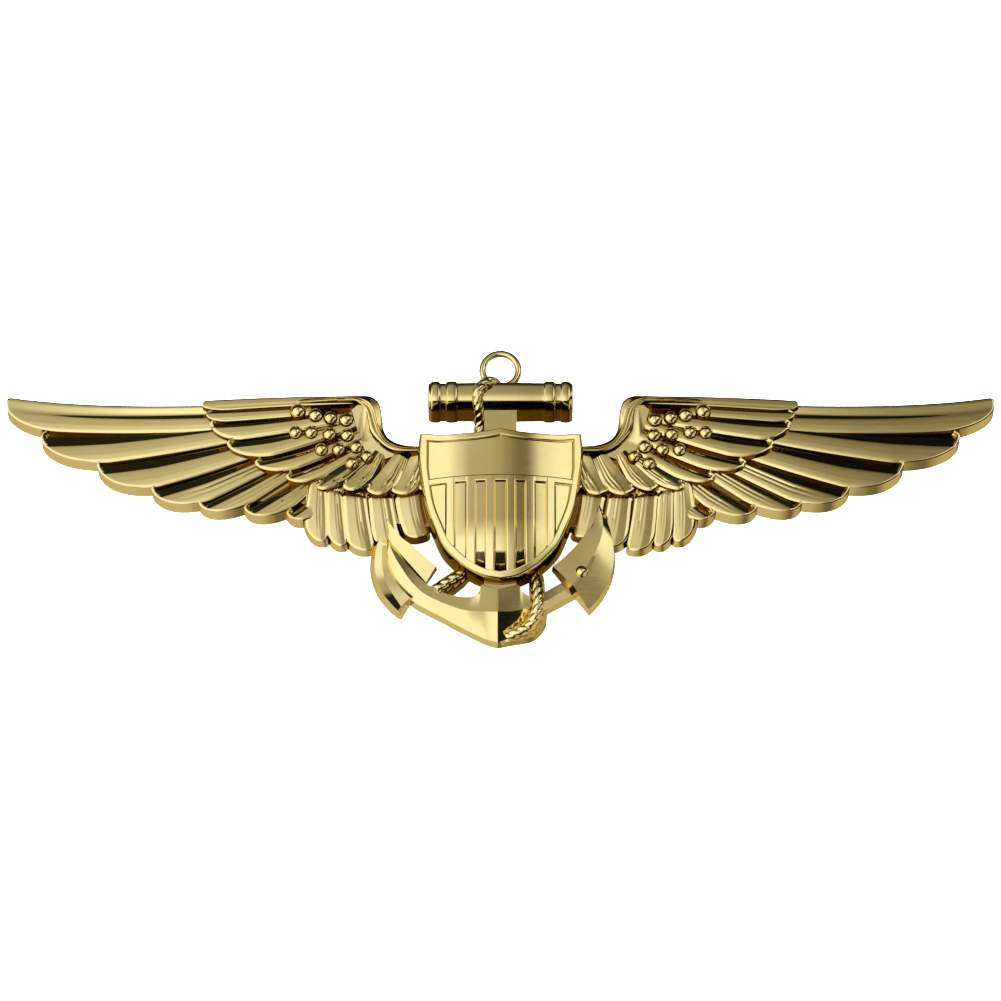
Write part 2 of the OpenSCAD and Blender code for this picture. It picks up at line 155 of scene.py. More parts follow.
def ball(centre, radius, rings=14, sides=24):
    """A sphere as (points, faces)."""
    points, faces = [[0, 0, 1]], []
    for i in range(1, rings):
        a = math.pi * i / rings
        points += [[math.sin(a) * math.cos(b), math.sin(a) * math.sin(b), math.cos(a)]
                   for b in np.arange(sides) * 2 * math.pi / sides]
    points.append([0, 0, -1])
    last = len(points) - 1
    for k in range(sides):
        m = (k + 1) % sides
        faces.append((0, 1 + k, 1 + m))
        faces.append((last, last - sides + m, last - sides + k))
        for i in range(rings - 2):
            a = 1 + i * sides
            faces.append((a + k, a + sides + k, a + sides + m, a + m))
    return np.array(points) * radius + centre, faces


def slab(outline, high, low):
    """A flat-topped plate over an outline, as (points, faces). high may be a function of x and y."""
    o = np.asarray(outline, float)
    n = len(o)
    z = high(o[:, 0], o[:, 1]) if callable(high) else np.full(n, high)
    points = np.vstack([np.column_stack([o, z]), np.column_stack([o, np.full(n, low)])])
    faces = [tuple(range(n)), tuple(range(2 * n - 1, n - 1, -1))]
    faces += [(i, i + n, (i + 1) % n + n, (i + 1) % n) for i in range(n)]
    return points, faces


def tube(route, radius, sides=24, closed=False, lobe=None):
    """A tube along a route of (x, y, h) points. lobe(angle, distance) gives the radius as a share."""
    line = np.asarray(route, float)
    count = len(line)
    if closed:
        ahead = np.roll(line, -1, 0) - np.roll(line, 1, 0)
    else:
        ahead = np.gradient(line, axis=0)
    ahead = unit(ahead)
    side = unit(np.cross(ahead, [0.03, 0.02, 1.0]))
    up = np.cross(side, ahead)
    far = np.concatenate([[0], np.cumsum(np.linalg.norm(np.diff(line, axis=0), axis=1))])
    angle = np.arange(sides) * 2 * math.pi / sides
    share = np.ones((count, sides)) if lobe is None else lobe(angle[None, :], far[:, None])
    rings = (line[:, None] + radius * share[..., None] * (np.cos(angle)[None, :, None] * side[:, None]
                                                         + np.sin(angle)[None, :, None] * up[:, None]))
    grid = np.arange(count * sides).reshape(count, sides)
    faces = []
    for i in range(count if closed else count - 1):
        j = (i + 1) % count
        faces += [(grid[i, k], grid[i, (k + 1) % sides], grid[j, (k + 1) % sides], grid[j, k])
                  for k in range(sides)]
    if not closed:
        faces += [tuple(grid[0, ::-1]), tuple(grid[-1])]
    return rings.reshape(-1, 3), faces


WELD, SLIVER = 2e-3, 1e-3  # mm: points closer than WELD become one, and edges shorter than SLIVER go


def make_mesh(name, points, faces):
    """An object from a solid drawn in badge millimetres, with its doubled points welded."""
    mesh = bpy.data.meshes.new(name)
    mesh.from_pydata(place(points).tolist(), [], [tuple(int(i) for i in f) for f in faces])
    bm = bmesh.new()
    bm.from_mesh(mesh)
    bmesh.ops.remove_doubles(bm, verts=bm.verts, dist=WELD * MM)
    bmesh.ops.dissolve_degenerate(bm, edges=bm.edges, dist=SLIVER * MM)
    bmesh.ops.recalc_face_normals(bm, faces=bm.faces)
    bm.to_mesh(mesh)
    bm.free()
    obj = bpy.data.objects.new(name, mesh)
    bpy.context.scene.collection.objects.link(obj)
    return obj


def fuse(name, solids):
    """One clean closed mesh made of all the solids."""
    parts = [make_mesh(f"{name}.{i}", *s) for i, s in enumerate(solids)]
    whole = parts[0]
    if len(parts) > 1:
        others = bpy.data.collections.new(name + ".others")
        for p in parts[1:]:
            others.objects.link(p)
        cut = whole.modifiers.new("union", "BOOLEAN")
        cut.operation, cut.solver = "UNION", "MANIFOLD"
        cut.operand_type, cut.collection = "COLLECTION", others
        union = bpy.data.meshes.new_from_object(whole.evaluated_get(bpy.context.evaluated_depsgraph_get()))
        whole.modifiers.clear()
        whole.data = union
        for p in parts[1:]:
            bpy.data.objects.remove(p)
        bpy.data.collections.remove(others)
    whole.name = name
    whole.data.name = name
    return whole


def mark_shaded_hollows(obj):
    """Mark the upright faces that have more of the piece just in front of them, so that they get painted
    shade.

    A face on the badge's upper edge also needs something there farther on, so a low step isn't marked."""
    ahead, farther = 0.2, 0.8  # mm in front of the face
    upright, upwards = 0.9, 0.7  # shares of its normal that lie in the badge's plane, and along +Y
    mesh = obj.data
    tree = BVHTree.FromPolygons([v.co for v in mesh.vertices], [f.vertices for f in mesh.polygons])
    marks = []
    for face in mesh.polygons:
        out = Vector((face.normal.x, face.normal.y, 0))
        hidden = out.length > upright
        if hidden:
            for far in (ahead, farther) if out.y > upwards else (ahead,):
                above = face.center + out.normalized() * far * MM
                above.z = 1.0
                hidden = hidden and tree.ray_cast(above, Vector((0, 0, -1)))[0] is not None
        marks.append(float(hidden))
    mesh.attributes.new("hollow", "FLOAT", "FACE").data.foreach_set("value", marks)


def front_piece(name, solids, crease=38.0, hollows=False):
    """Fuse the solids into the gold piece that replaces a CAD node. Edges over crease degrees stay sharp."""
    obj = fuse(name + "_relief", solids)
    # the hollows marked here get painted shade in the gold
    if hollows:
        mark_shaded_hollows(obj)
    obj.data.materials.clear()
    obj.data.materials.append(GOLD)
    obj.data.polygons.foreach_set("use_smooth", [True] * len(obj.data.polygons))
    obj.data.set_sharp_from_angle(angle=math.radians(crease))
    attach(obj, "root")
    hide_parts(name)


def mirrored(solid):
    """The solid for the other wing."""
    points, faces = solid
    return points * [-1, 1, 1], [tuple(reversed(f)) for f in faces]


# ---------------------------------------------------------------- materials
def node(tree, kind, at=(0, 0), **values):
    n = tree.nodes.new(kind)
    n.location = at
    for key, value in values.items():
        setattr(n, key, value)
    return n


def ranged(t, value, low, high, to_low, to_high, at):
    """The value taken from low..high to to_low..to_high, and held inside them."""
    span = node(t, "ShaderNodeMapRange", at)
    for name, number in zip(("From Min", "From Max", "To Min", "To Max"), (low, high, to_low, to_high)):
        span.inputs[name].default_value = number
    t.links.new(value, span.inputs["Value"])
    return span.outputs["Result"]


def joined(t, operation, a, b, at):
    both = node(t, "ShaderNodeMath", at, operation=operation)
    t.links.new(a, both.inputs[0])
    t.links.new(b, both.inputs[1])
    return both.outputs["Value"]


def ramped(t, value, stops, at):
    """A colour ramp whose first and last stops are at 0 and 1."""
    ramp = node(t, "ShaderNodeValToRGB", at)
    r = ramp.color_ramp
    for i, (share, colour) in enumerate(stops):
        ends = {0: 0, len(stops) - 1: len(r.elements) - 1}
        stop = r.elements[ends[i]] if i in ends else r.elements.new(share)
        stop.color = (*colour, 1)
    t.links.new(value, ramp.inputs["Fac"])
    return ramp.outputs["Color"]


def facing_up(t, where, at):
    """How far a face looks out of the badge: 1 for its front, -1 for its back."""
    normal = node(t, "ShaderNodeSeparateXYZ", at)
    t.links.new(where.outputs["Normal"], normal.inputs["Vector"])
    return normal.outputs["Z"]


PAINTED_SHADE_OVAL = (7.8, 8.6)  # mm: half sizes of the oval round the shield whose side walls get painted shade


def painted_recess_shade(t, where, tint, front_painted_shade):
    """Paint shade: mix a dark colour, standing in for shade and dark reflections, into marked hollows and
    upright faces inside an oval round the shield.
    """
    level = node(t, "ShaderNodeMath", (-780, 700), operation="ABSOLUTE")
    t.links.new(facing_up(t, where, (-900, 700)), level.inputs[0])
    upright = ranged(t, level.outputs["Value"], 0.45, 0.25, 0, 1, (-650, 700))
    oval = node(t, "ShaderNodeMapping", (-900, 500))
    oval.inputs["Scale"].default_value = (1 / (PAINTED_SHADE_OVAL[0] * MM), 1 / (PAINTED_SHADE_OVAL[1] * MM), 0.0)
    t.links.new(where.outputs["Object"], oval.inputs["Vector"])
    far = node(t, "ShaderNodeVectorMath", (-650, 500), operation="LENGTH")
    t.links.new(oval.outputs["Vector"], far.inputs[0])
    inside = ranged(t, far.outputs["Value"], 1.06, 0.94, 0, 1, (-450, 500))
    both = joined(t, "MULTIPLY", upright, inside, (-300, 600))
    marked = node(t, "ShaderNodeAttribute", (-450, 800), attribute_name="hollow")
    either = joined(t, "MAXIMUM", both, marked.outputs["Fac"], (-150, 650))
    blend = node(t, "ShaderNodeMix", (-150, 400), data_type="RGBA")
    sockets = {x.name: x for x in blend.inputs if x.type == "RGBA"}
    t.links.new(either, blend.inputs["Factor"])
    t.links.new(tint, sockets["A"])
    sockets["B"].default_value = (*front_painted_shade, 1)
    return [x for x in blend.outputs if x.type == "RGBA"][0]


def blasted_behind(t, where, roughness):
    """Add to the roughness of the faces that look towards the cloth: they are blasted, not polished."""
    behind = ranged(t, facing_up(t, where, (-900, -150)), -0.7, -0.9, 0, 0.3, (-700, -150))
    return joined(t, "ADD", roughness, behind, (-300, -50))


def metal(name, light, dark, rough, wander, scratch, grain, edge, front_painted_shade=None):
    """Polished metal: the colour and roughness wander a little, with fine rub marks and a soft orange peel.

    light and dark are the two colours it wanders between, rough its range of roughness, wander the scale of
    the patches, scratch the depth of the rub marks in metres and grain that of the orange peel. edge tints
    grazing reflections. The last colour, on the front pieces only, is painted shade: a dark red-brown put on
    the side walls round the shield and in the hollows, standing in for the shade and dark reflections there."""
    m = bpy.data.materials.new(name)
    m.use_nodes = True
    t = m.node_tree
    shader = t.nodes["Principled BSDF"]
    shader.inputs["Metallic"].default_value = 1.0
    shader.inputs["Specular Tint"].default_value = (*edge, 1)
    where = node(t, "ShaderNodeTexCoord", (-1200, 0))
    patches = node(t, "ShaderNodeTexNoise", (-900, 200))
    patches.inputs["Scale"].default_value = wander
    patches.inputs["Detail"].default_value = 5.0
    t.links.new(where.outputs["Object"], patches.inputs["Vector"])
    colour = node(t, "ShaderNodeValToRGB", (-500, 300))
    colour.color_ramp.elements[0].position, colour.color_ramp.elements[1].position = 0.35, 0.65
    colour.color_ramp.elements[0].color = (*dark, 1)
    colour.color_ramp.elements[1].color = (*light, 1)
    t.links.new(patches.outputs["Fac"], colour.inputs["Fac"])
    tint = colour.outputs["Color"]
    # painted shade: darken the side walls round the shield and the hollows
    if front_painted_shade:
        tint = painted_recess_shade(t, where, tint, front_painted_shade)
    t.links.new(tint, shader.inputs["Base Color"])
    # rub marks: noise drawn out along X, so that polishing strokes run along the wings
    stretch = node(t, "ShaderNodeMapping", (-1100, -300))
    stretch.inputs["Scale"].default_value = (600.0, 5200.0, 5200.0)
    stretch.inputs["Rotation"].default_value = (0.0, 0.0, 0.35)
    strokes = node(t, "ShaderNodeTexNoise", (-900, -300))
    strokes.inputs["Scale"].default_value = 1.0
    strokes.inputs["Detail"].default_value = 3.0
    peel = node(t, "ShaderNodeTexNoise", (-900, -550))
    peel.inputs["Scale"].default_value = 900.0
    peel.inputs["Detail"].default_value = 2.0
    t.links.new(where.outputs["Object"], stretch.inputs["Vector"])
    t.links.new(stretch.outputs["Vector"], strokes.inputs["Vector"])
    t.links.new(where.outputs["Object"], peel.inputs["Vector"])
    roughness = ranged(t, strokes.outputs["Fac"], 0.35, 0.7, *rough, (-500, -50))
    # front pieces only: the same ones that get the painted shade
    if front_painted_shade:
        roughness = blasted_behind(t, where, roughness)
    t.links.new(roughness, shader.inputs["Roughness"])
    lines = node(t, "ShaderNodeBump", (-500, -300))
    lines.inputs["Strength"].default_value, lines.inputs["Distance"].default_value = 1.0, scratch
    skin = node(t, "ShaderNodeBump", (-250, -400))
    skin.inputs["Strength"].default_value, skin.inputs["Distance"].default_value = 1.0, grain
    t.links.new(strokes.outputs["Fac"], lines.inputs["Height"])
    t.links.new(peel.outputs["Fac"], skin.inputs["Height"])
    t.links.new(lines.outputs["Normal"], skin.inputs["Normal"])
    t.links.new(skin.outputs["Normal"], shader.inputs["Normal"])
    return m


GRAZING_GOLD = (0.93, 0.75, 0.47)
# the gold's last colour is painted shade, dark red-brown for the walls round the shield and the hollows
GOLD = metal("polished gold", light=(0.97, 0.84, 0.42), dark=(0.92, 0.78, 0.35), rough=(0.05, 0.14),
             wander=260.0, scratch=1.2e-7, grain=4e-7, edge=GRAZING_GOLD, front_painted_shade=(0.1, 0.04, 0.008))
GOLD_BACK = metal("tumbled gold", light=(0.86, 0.70, 0.32), dark=(0.76, 0.58, 0.24), rough=(0.2, 0.42),
                  wander=420.0, scratch=1.2e-6, grain=1.5e-6, edge=GRAZING_GOLD)
STEEL = metal("drawn steel", light=(0.72, 0.73, 0.75), dark=(0.58, 0.58, 0.6), rough=(0.12, 0.3),
              wander=500.0, scratch=5e-7, grain=5e-7, edge=(0.9, 0.9, 0.9))

# ---------------------------------------------------------------- feathers
# A feather is (root, bend, tip, root width, full width, where its tip begins to sweep round). root, bend and
# tip draw its leading edge; a negative width lies on the other side of that edge.
FLIGHTS = [
    ((-12, 7.7), (-27, 6.9), (-35.0, 8.45), 1.8, 2.15, 0.78),
    ((-14, 6.9), (-24, 5.45), (-32.55, 5.5), 1.3, 2.3, 0.72),
    ((-13, 6.2), (-22, 3.75), (-28.5, 3.3), 1.2, 2.4, 0.70),
    ((-12.5, 5.6), (-19, 2.85), (-24.6, 1.25), 1.1, 2.2, 0.68),
    ((-11.5, 5.2), (-16.5, 2.4), (-21.2, 0), 1.0, 1.75, 0.66),
    ((-11, 4), (-14.6, 1.7), (-18, -0.45), 0.9, 1.8, 0.6),
    ((-11, 2), (-13, 0.6), (-15, -0.9), 0.9, 1.4, 0.6),
]
SECONDARIES = [
    ((-12.3, 1.6), (-12.1, -0.8), (-12.1, -2.9), -1.2, -1.7, 0.5),
    ((-11.2, 1.6), (-11, -0.8), (-10.7, -3.2), -1.1, -1.4, 0.65),
    ((-9.6, 1.6), (-9.4, -0.8), (-8.8, -3.5), -1.6, -1.9, 0.7),
    ((-7.9, 1.6), (-7.5, -0.6), (-7, -3.3), -1.6, -1.9, 0.7),
    ((-5.6, 1.5), (-5.6, -0.5), (-4.9, -2.4), -2, -1.9, 0.8),
]
COVERTS = [
    ((-9.5, 7.7), (-15, 7.75), (-21.1, 7.5), 0.45, 0.7, 0.85),
    ((-13.4, 7.1), (-17, 6.88), (-20.8, 6.8), 0.7, 0.85, 0.8),
    ((-10.66, 6.8), (-15.84, 6.12), (-20.5, 6.05), 0.91, 1.5, 0.77),
    ((-10.4, 6.2), (-14.93, 4.77), (-19.3, 4.5), 0.88, 1.5, 0.65),
    ((-10.05, 5.28), (-13.71, 3.51), (-17.3, 2.95), 0.88, 1.25, 0.6),
    ((-9.94, 4.18), (-12.43, 2.7), (-15.1, 1.8), 0.83, 1.15, 0.54),
    ((-9.92, 3.16), (-11.46, 2.0), (-13, 1.05), 0.82, 1.0, 0.4),
    ((-8.7, 3.6), (-9.7, 2.2), (-11.1, 0.95), 0.7, 1.2, 0.5),
    ((-7.3, 3.4), (-8.2, 2), (-9.4, 0.65), 1.0, 1.5, 0.5),
    ((-6, 3.4), (-6.8, 2), (-7.7, 0.6), 1.2, 1.7, 0.5),
    ((-4.6, 3.4), (-5, 2), (-5.9, 0.9), 1.3, 1.7, 0.5),
]
CORNER_R = 0.35  # of the leading edge's corner at a feather's tip
ROWS_PER_MM, TURN_ROWS = 7, 30  # rows along a feather, and round its tip
COLUMNS_PER_MM, EDGE_SHARE = 16, 0.05  # columns across it; the outer EDGE_SHARE on each side has finer ones

# Cross-sections from the leading edge (0) to the trailing edge (1), as (place, height), at root and at tip
FIRST_FLIGHT = ([(0, 1.56), (0.04, 1.60), (0.08, 1.59), (0.25, 1.42), (0.29, 1.40), (0.50, 1.63),
                 (0.58, 1.65), (0.75, 1.62), (0.9, 1.57), (1, 1.51)],
                [(0, 1.53), (0.04, 1.57), (0.12, 1.585), (0.34, 1.55), (0.42, 1.545), (0.50, 1.55),
                 (0.55, 1.55), (0.75, 1.54), (0.9, 1.51), (1, 1.47)])
FLIGHT = ([(0, 1.08), (0.47, 1.58), (0.52, 1.61), (0.64, 1.605), (0.78, 1.585), (0.9, 1.55), (1, 1.50)],
          [(0, 1.08), (0.48, 1.55), (0.53, 1.575), (0.64, 1.57), (0.78, 1.55), (0.9, 1.515), (1, 1.46)])
SECONDARY = ([(0, 1.72), (0.1, 1.78), (0.30, 1.82), (0.5, 1.83), (0.8, 1.78), (0.92, 1.71), (1, 1.62)],
             [(0, 1.84), (0.1, 1.90), (0.30, 1.94), (0.5, 1.95), (0.8, 1.90), (0.92, 1.83), (1, 1.74)])
TOP_COVERT = ([(0, 2.04), (0.1, 2.09), (0.5, 2.10), (1, 2.05)],) * 2
THIN_COVERT = ([(0, 1.86), (0.3, 2.08), (0.38, 2.11), (0.7, 2.12), (1, 2.06)],
               [(0, 1.94), (0.3, 2.09), (0.38, 2.11), (0.7, 2.11), (1, 2.06)])
COVERT = ([(0, 1.74), (0.44, 2.12), (0.50, 2.15), (0.7, 2.14), (0.88, 2.11), (1, 2.06)],
          [(0, 1.74), (0.44, 2.10), (0.50, 2.13), (0.7, 2.12), (0.88, 2.09), (1, 2.04)])
INNER_COVERT = ([(0, 1.98), (0.40, 2.12), (0.50, 2.14), (0.7, 2.13), (0.88, 2.10), (1, 2.04)],
                [(0, 1.98), (0.40, 2.10), (0.50, 2.12), (0.7, 2.11), (0.88, 2.08), (1, 2.02)])


def softened(section, share, count=401, spread=0.012):
    """The section's heights from edge to edge, share of the way from root to tip, with worn creases."""
    (root, tip), fine = section, np.linspace(0, 1, count)
    places, heights = (mix(np.array(root)[:, k], np.array(tip)[:, k], share) for k in (0, 1))
    reach = int(3 * spread * count)
    weight = np.exp(-((np.arange(-reach, reach + 1) / (spread * count)) ** 2))
    padded = np.pad(np.interp(fine, places, heights), reach, mode="edge")
    return fine, np.convolve(padded, weight / weight.sum(), mode="valid")


def feather(spec, section, low, under=0.0, fall=0.0, dent=None, rim=0.03, rim_w=0.32, bevel=(0.12, 0.05),
            vanes=()):
    """One feather as a closed solid: its section swept from root to tip, with a raised rim round the tip.

    under is how far it reaches below its neighbour, fall how much it drops from root to tip, dent(x, y) what
    is taken off it, rim and rim_w the rim's height over the trailing edge and its width, bevel the (width,
    depth) of its worn outer edge. vanes are fine creases, each (place, depth, width), that end by the tip."""
    root, bend, tip, w_root, w_full, sweep = spec
    root, bend, tip = (np.array(v, float) for v in (root, bend, tip))
    side, w_root, w_full = math.copysign(1, w_full), abs(w_root), abs(w_full)
    length = np.linalg.norm(tip - root)
    body = np.linspace(0, sweep, max(6, int(length * sweep * ROWS_PER_MM)), endpoint=False)
    turn = np.linspace(0, math.pi / 2, TURN_ROWS)
    t = np.concatenate([body, sweep + (1 - sweep) * np.sin(turn)])
    full = mix(w_root, w_full, np.minimum(t / sweep, 1))
    trail = np.concatenate([full[: len(body)], CORNER_R - under + (w_full - CORNER_R + under) * np.cos(turn)])
    start = 1 - CORNER_R / length
    lead = CORNER_R * (1 - np.sqrt(1 - np.clip((t - start) / (1 - start), 0, 1) ** 2)) - under
    s = (1 - np.cos(np.linspace(0, math.pi, 9)[:4])) * EDGE_SHARE
    middle = np.linspace(EDGE_SHARE, 1 - EDGE_SHARE, int(w_full * COLUMNS_PER_MM))
    s = np.concatenate([s, middle, 1 - s[::-1]])
    edge = mix(mix(root, bend, t[:, None]), mix(bend, tip, t[:, None]), t[:, None])
    across = left_of(unit(mix(bend - root, tip - bend, t[:, None]))) * side
    q = lead[:, None] + (trail - lead)[:, None] * s[None, :]
    xy = edge[:, None] + across[:, None] * q[..., None]
    place_across = (q + under) / (full + under)[:, None]
    h = np.array([np.interp(place_across[i], *softened(section, k)) for i, k in enumerate(t)])
    for where, depth, width in vanes:
        fade = 1 - smooth(t, 0.6, 0.9)
        h -= depth * fade[:, None] * np.exp(-(((place_across - where) / width) ** 2))
    outline = np.vstack([xy[t > start, 0], xy[::-1, -1]])
    near = distance_to(outline, xy)
    rim_top = section[1][-1][1] + rim
    h = mix(h, np.maximum(h, rim_top), 1 - smooth(near, rim_w * 0.55, rim_w))
    wide, deep = bevel
    h -= deep * (1 - np.minimum(near / wide, 1)) ** 1.7
    h -= fall * t[:, None] ** 1.2
    if dent:
        h -= dent(xy[..., 0], xy[..., 1])
    return sheet_solid(np.dstack([xy, h]), low)


# ---------------------------------------------------------------- wings
RIM_OUTER = [(-17, 7.42), (-13, 7.66), (-10, 7.75), (-9.2, 7.68), (-8.65, 7.3), (-8.4, 6.5), (-8.35, 5.6),
             (-8.05, 4.7), (-7.5, 4.2), (-6.8, 3.95), (-5.9, 3.85), (-4, 3.85)]
RIM_INNER = [(-17, 7.25), (-13, 7.25), (-10.5, 7.25), (-9.95, 7.0), (-9.58, 6.5), (-9.45, 5.8), (-9.2, 4.9),
             (-8.5, 4.05), (-7.8, 3.55), (-7, 3.35), (-5.9, 3.35), (-4, 3.35)]
RIM_SECTION = [(0, 2.2), (0.05, 2.30), (0.3, 2.38), (0.40, 2.42), (0.46, 2.42), (0.54, 2.28), (0.6, 2.27),
               (0.70, 2.40), (0.78, 2.43), (0.88, 2.35), (1, 2.15)]
# The smooth plate between beads and rim, and the web that joins the feathers' roots
FIELD = [(-10.5, 6.6), (-10.1, 6.95), (-9.7, 6.95), (-9.3, 6.4), (-9.1, 5.6), (-8.8, 4.7), (-8.2, 3.9),
         (-7.2, 3.4), (-8.6, 2.9), (-9.4, 3.4), (-9.9, 4.4), (-10.15, 5.4)]
ROOT = [(-1.2, 3.6), (-7.5, 3.8), (-8.6, 5), (-8.9, 7.3), (-14, 7.3), (-17, 2), (-17.2, 0.2), (-14.2, 0.1),
        (-12.4, -0.9), (-7.3, -1.6), (-5.6, -1.9), (-1.2, -1.6)]
BEAD_H = 2.1
BEADS = [(-14.3, 6.6, 0.58), (-13.05, 6.3, 0.54), (-12, 6.1, 0.52), (-10.9, 5.92, 0.54), (-14.45, 5.0, 0.5),
         (-13.35, 5.0, 0.5), (-12.05, 4.85, 0.52), (-10.8, 4.75, 0.52), (-12.6, 3.68, 0.5),
         (-11.4, 3.68, 0.5), (-10.15, 3.85, 0.52), (-9.4, 3.12, 0.46), (-10.45, 2.62, 0.5)]


def leading_rim():
    """The rolled leading edge: two ridges that run down round the shoulder to the shield."""
    rows, columns = 170, 26
    outer, inner = (resample(through(line), rows) for line in (RIM_OUTER, RIM_INNER))
    across = np.linspace(0, 1, columns)
    xy = mix(outer[:, None], inner[:, None], across[None, :, None])
    h = np.tile(np.interp(across, *zip(*RIM_SECTION)), (rows, 1))
    # its far end is low and nearly flat, and lies hidden in the top covert
    rise = smooth(outer[:, 0], -16.5, -11)[:, None]
    h = mix(1.9 + 0.03 * np.sin(across * math.pi)[None, :], h, rise)
    return sheet_solid(np.dstack([xy, h]), 0.0, draft=0.1)


def field_h(x, y):
    return 1.88 + 0.15 * (y - 3.4)


def wing_solids():
    """The left wing's feathers, plates, rim and beads."""
    crease = [(0.60, 0.05, 0.025), (0.74, 0.03, 0.025)]
    scale = [(0.55, 0.06, 0.03), (0.72, 0.05, 0.03), (0.88, 0.04, 0.02)]
    blade = [(0.30, 0.025, 0.02), (0.42, 0.02, 0.02)]

    def gap(x, y):
        """The hollow in the secondaries just below the scalloped edge of the inner coverts."""
        depth = 0.32 * smooth(x, -12.3, -10.4)
        return depth * np.exp(-(((y - 0.58 - 0.03 * (x + 8.6) ** 2) / 0.22) ** 2))

    solids = [feather(FLIGHTS[0], FIRST_FLIGHT, 0.0)]
    solids += [feather(f, FLIGHT, 0.0, under=0.35) for f in FLIGHTS[1:3]]
    solids += [feather(f, FLIGHT, 0.0, under=0.3, vanes=crease) for f in FLIGHTS[3:]]
    solids += [feather(f, SECONDARY, 0.0, fall=0.72, dent=gap, rim=-0.4, bevel=(0.14, 0.05), vanes=blade)
               for f in SECONDARIES]
    for f, section in zip(COVERTS, (TOP_COVERT, THIN_COVERT)):
        solids.append(feather(f, section, 1.0, under=0.1, rim_w=0.18, bevel=(0.1, 0.03)))
    solids += [feather(f, COVERT, 1.0, under=0.25, bevel=(0.2, 0.07)) for f in COVERTS[2:6]]
    solids += [feather(f, INNER_COVERT, 1.0, under=0.15, bevel=(0.22, 0.08), vanes=scale)
               for f in COVERTS[6:]]
    solids.append(slab(ROOT, 1.3, 0.02))
    solids.append(slab(FIELD, field_h, 1.0))
    solids.append(leading_rim())
    solids += [ball((x, y, BEAD_H), r) for x, y, r in BEADS]
    return solids


def build_wings():
    left = wing_solids()
    for side, solids in (("left", left), ("right", [mirrored(s) for s in left])):
        front_piece(side + "_wing", solids, hollows=True)


# ---------------------------------------------------------------- shield
SHIELD_SIDE = [(0, 4.45), (1, 4.28), (2.2, 4.18), (4, 4.2), (5.1, 4.42), (5.6, 4.52), (5.7, 3), (5.5, 1.13),
               (5.15, -0.95), (4.55, -2.7), (3.95, -4.04), (2.95, -5.13), (2.0, -5.79), (1.1, -6.18),
               (0, -6.36)]
CORNER = 5  # which of those points is the shield's upper corner
SHIELD_HALF = 5.7
SHIELD_EDGE_H, SHIELD_RISE = 2.9, 1.2  # height of the face at its sides, and how much it rises to its middle
DOME_R = (SHIELD_HALF**2 + SHIELD_RISE**2) / (2 * SHIELD_RISE)
BORDER = 0.45  # width of the raised border
BAR_TOP, BAR_LOW = 0.97, 0.53  # y of the cross bar's edges
BARS = [(0.42, 1.05), (1.75, 2.4), (3.2, 3.8)]  # x of the edges of the raised pales
BAR_DROP, PANEL_DEPTH = 0.015, 0.22  # how far the bars and the sunk panels lie below the face


def dome(x, y):
    """Height of the shield's face: curved round an axis along Y, and falling away towards its point."""
    fall = 0.075 * np.maximum(-2.2 - np.asarray(y, float), 0) ** 2
    return SHIELD_EDGE_H + SHIELD_RISE - DOME_R + np.sqrt(DOME_R**2 - np.asarray(x, float) ** 2) - fall


def shield_outline():
    """The shield's edge, anticlockwise from the top middle: rounded runs between sharp corners."""
    top = through(SHIELD_SIDE[: CORNER + 1], 10)
    flank = through(SHIELD_SIDE[CORNER:], 10)
    half = np.vstack([top, flank[1:]])
    return np.vstack([half * [-1, 1], half[-2:0:-1]])


# Section of a raised strip's edge: (mm in from the edge, mm above its top)
STRIP_EDGE = np.array([(-0.10, -0.27), (0.0, -0.035), (0.03, -0.01), (0.07, 0.0)])


def strip(line_a, line_b, h_of, low, closed=False):
    """A raised strip between two lines. Its long edges are worn round and splay out as they go down."""
    rows = []
    for a, b in zip(line_a, line_b):
        width = np.linalg.norm(b - a)
        edge = STRIP_EDGE[:, 0] / width
        flat = mix(edge[-1], 1 - edge[-1], np.linspace(0, 1, 9)[1:-1])
        share = np.concatenate([edge, flat, 1 - edge[::-1]])
        sink = np.concatenate([STRIP_EDGE[:, 1], np.zeros(len(flat)), STRIP_EDGE[::-1, 1]])
        xy = a + (b - a) * share[:, None]
        rows.append(np.column_stack([xy, h_of(xy[:, 0], xy[:, 1]) + sink]))
    return sheet_solid(np.array(rows), low, 0.02, closed)


def edge_y(line, x, upper):
    """Where a line round the shield crosses x, on its upper side or on its lower one."""
    half = line[line[:, 1] > 3.65] if upper else line[line[:, 1] < 3.6]
    order = np.argsort(half[:, 0])
    return np.interp(x, half[order, 0], half[order, 1])


def panel_h(x, y):
    """Height of the sunk panels. The middle ones plunge near the point of the shield."""
    plunge = 0.72 * np.clip((-4.45 - y) / 1.4, 0, 1) * (1 - smooth(abs(x), 1.75, 2.1))
    return dome(x, y) - PANEL_DEPTH - plunge


def bar_h(x, y):
    return dome(x, y) - BAR_DROP


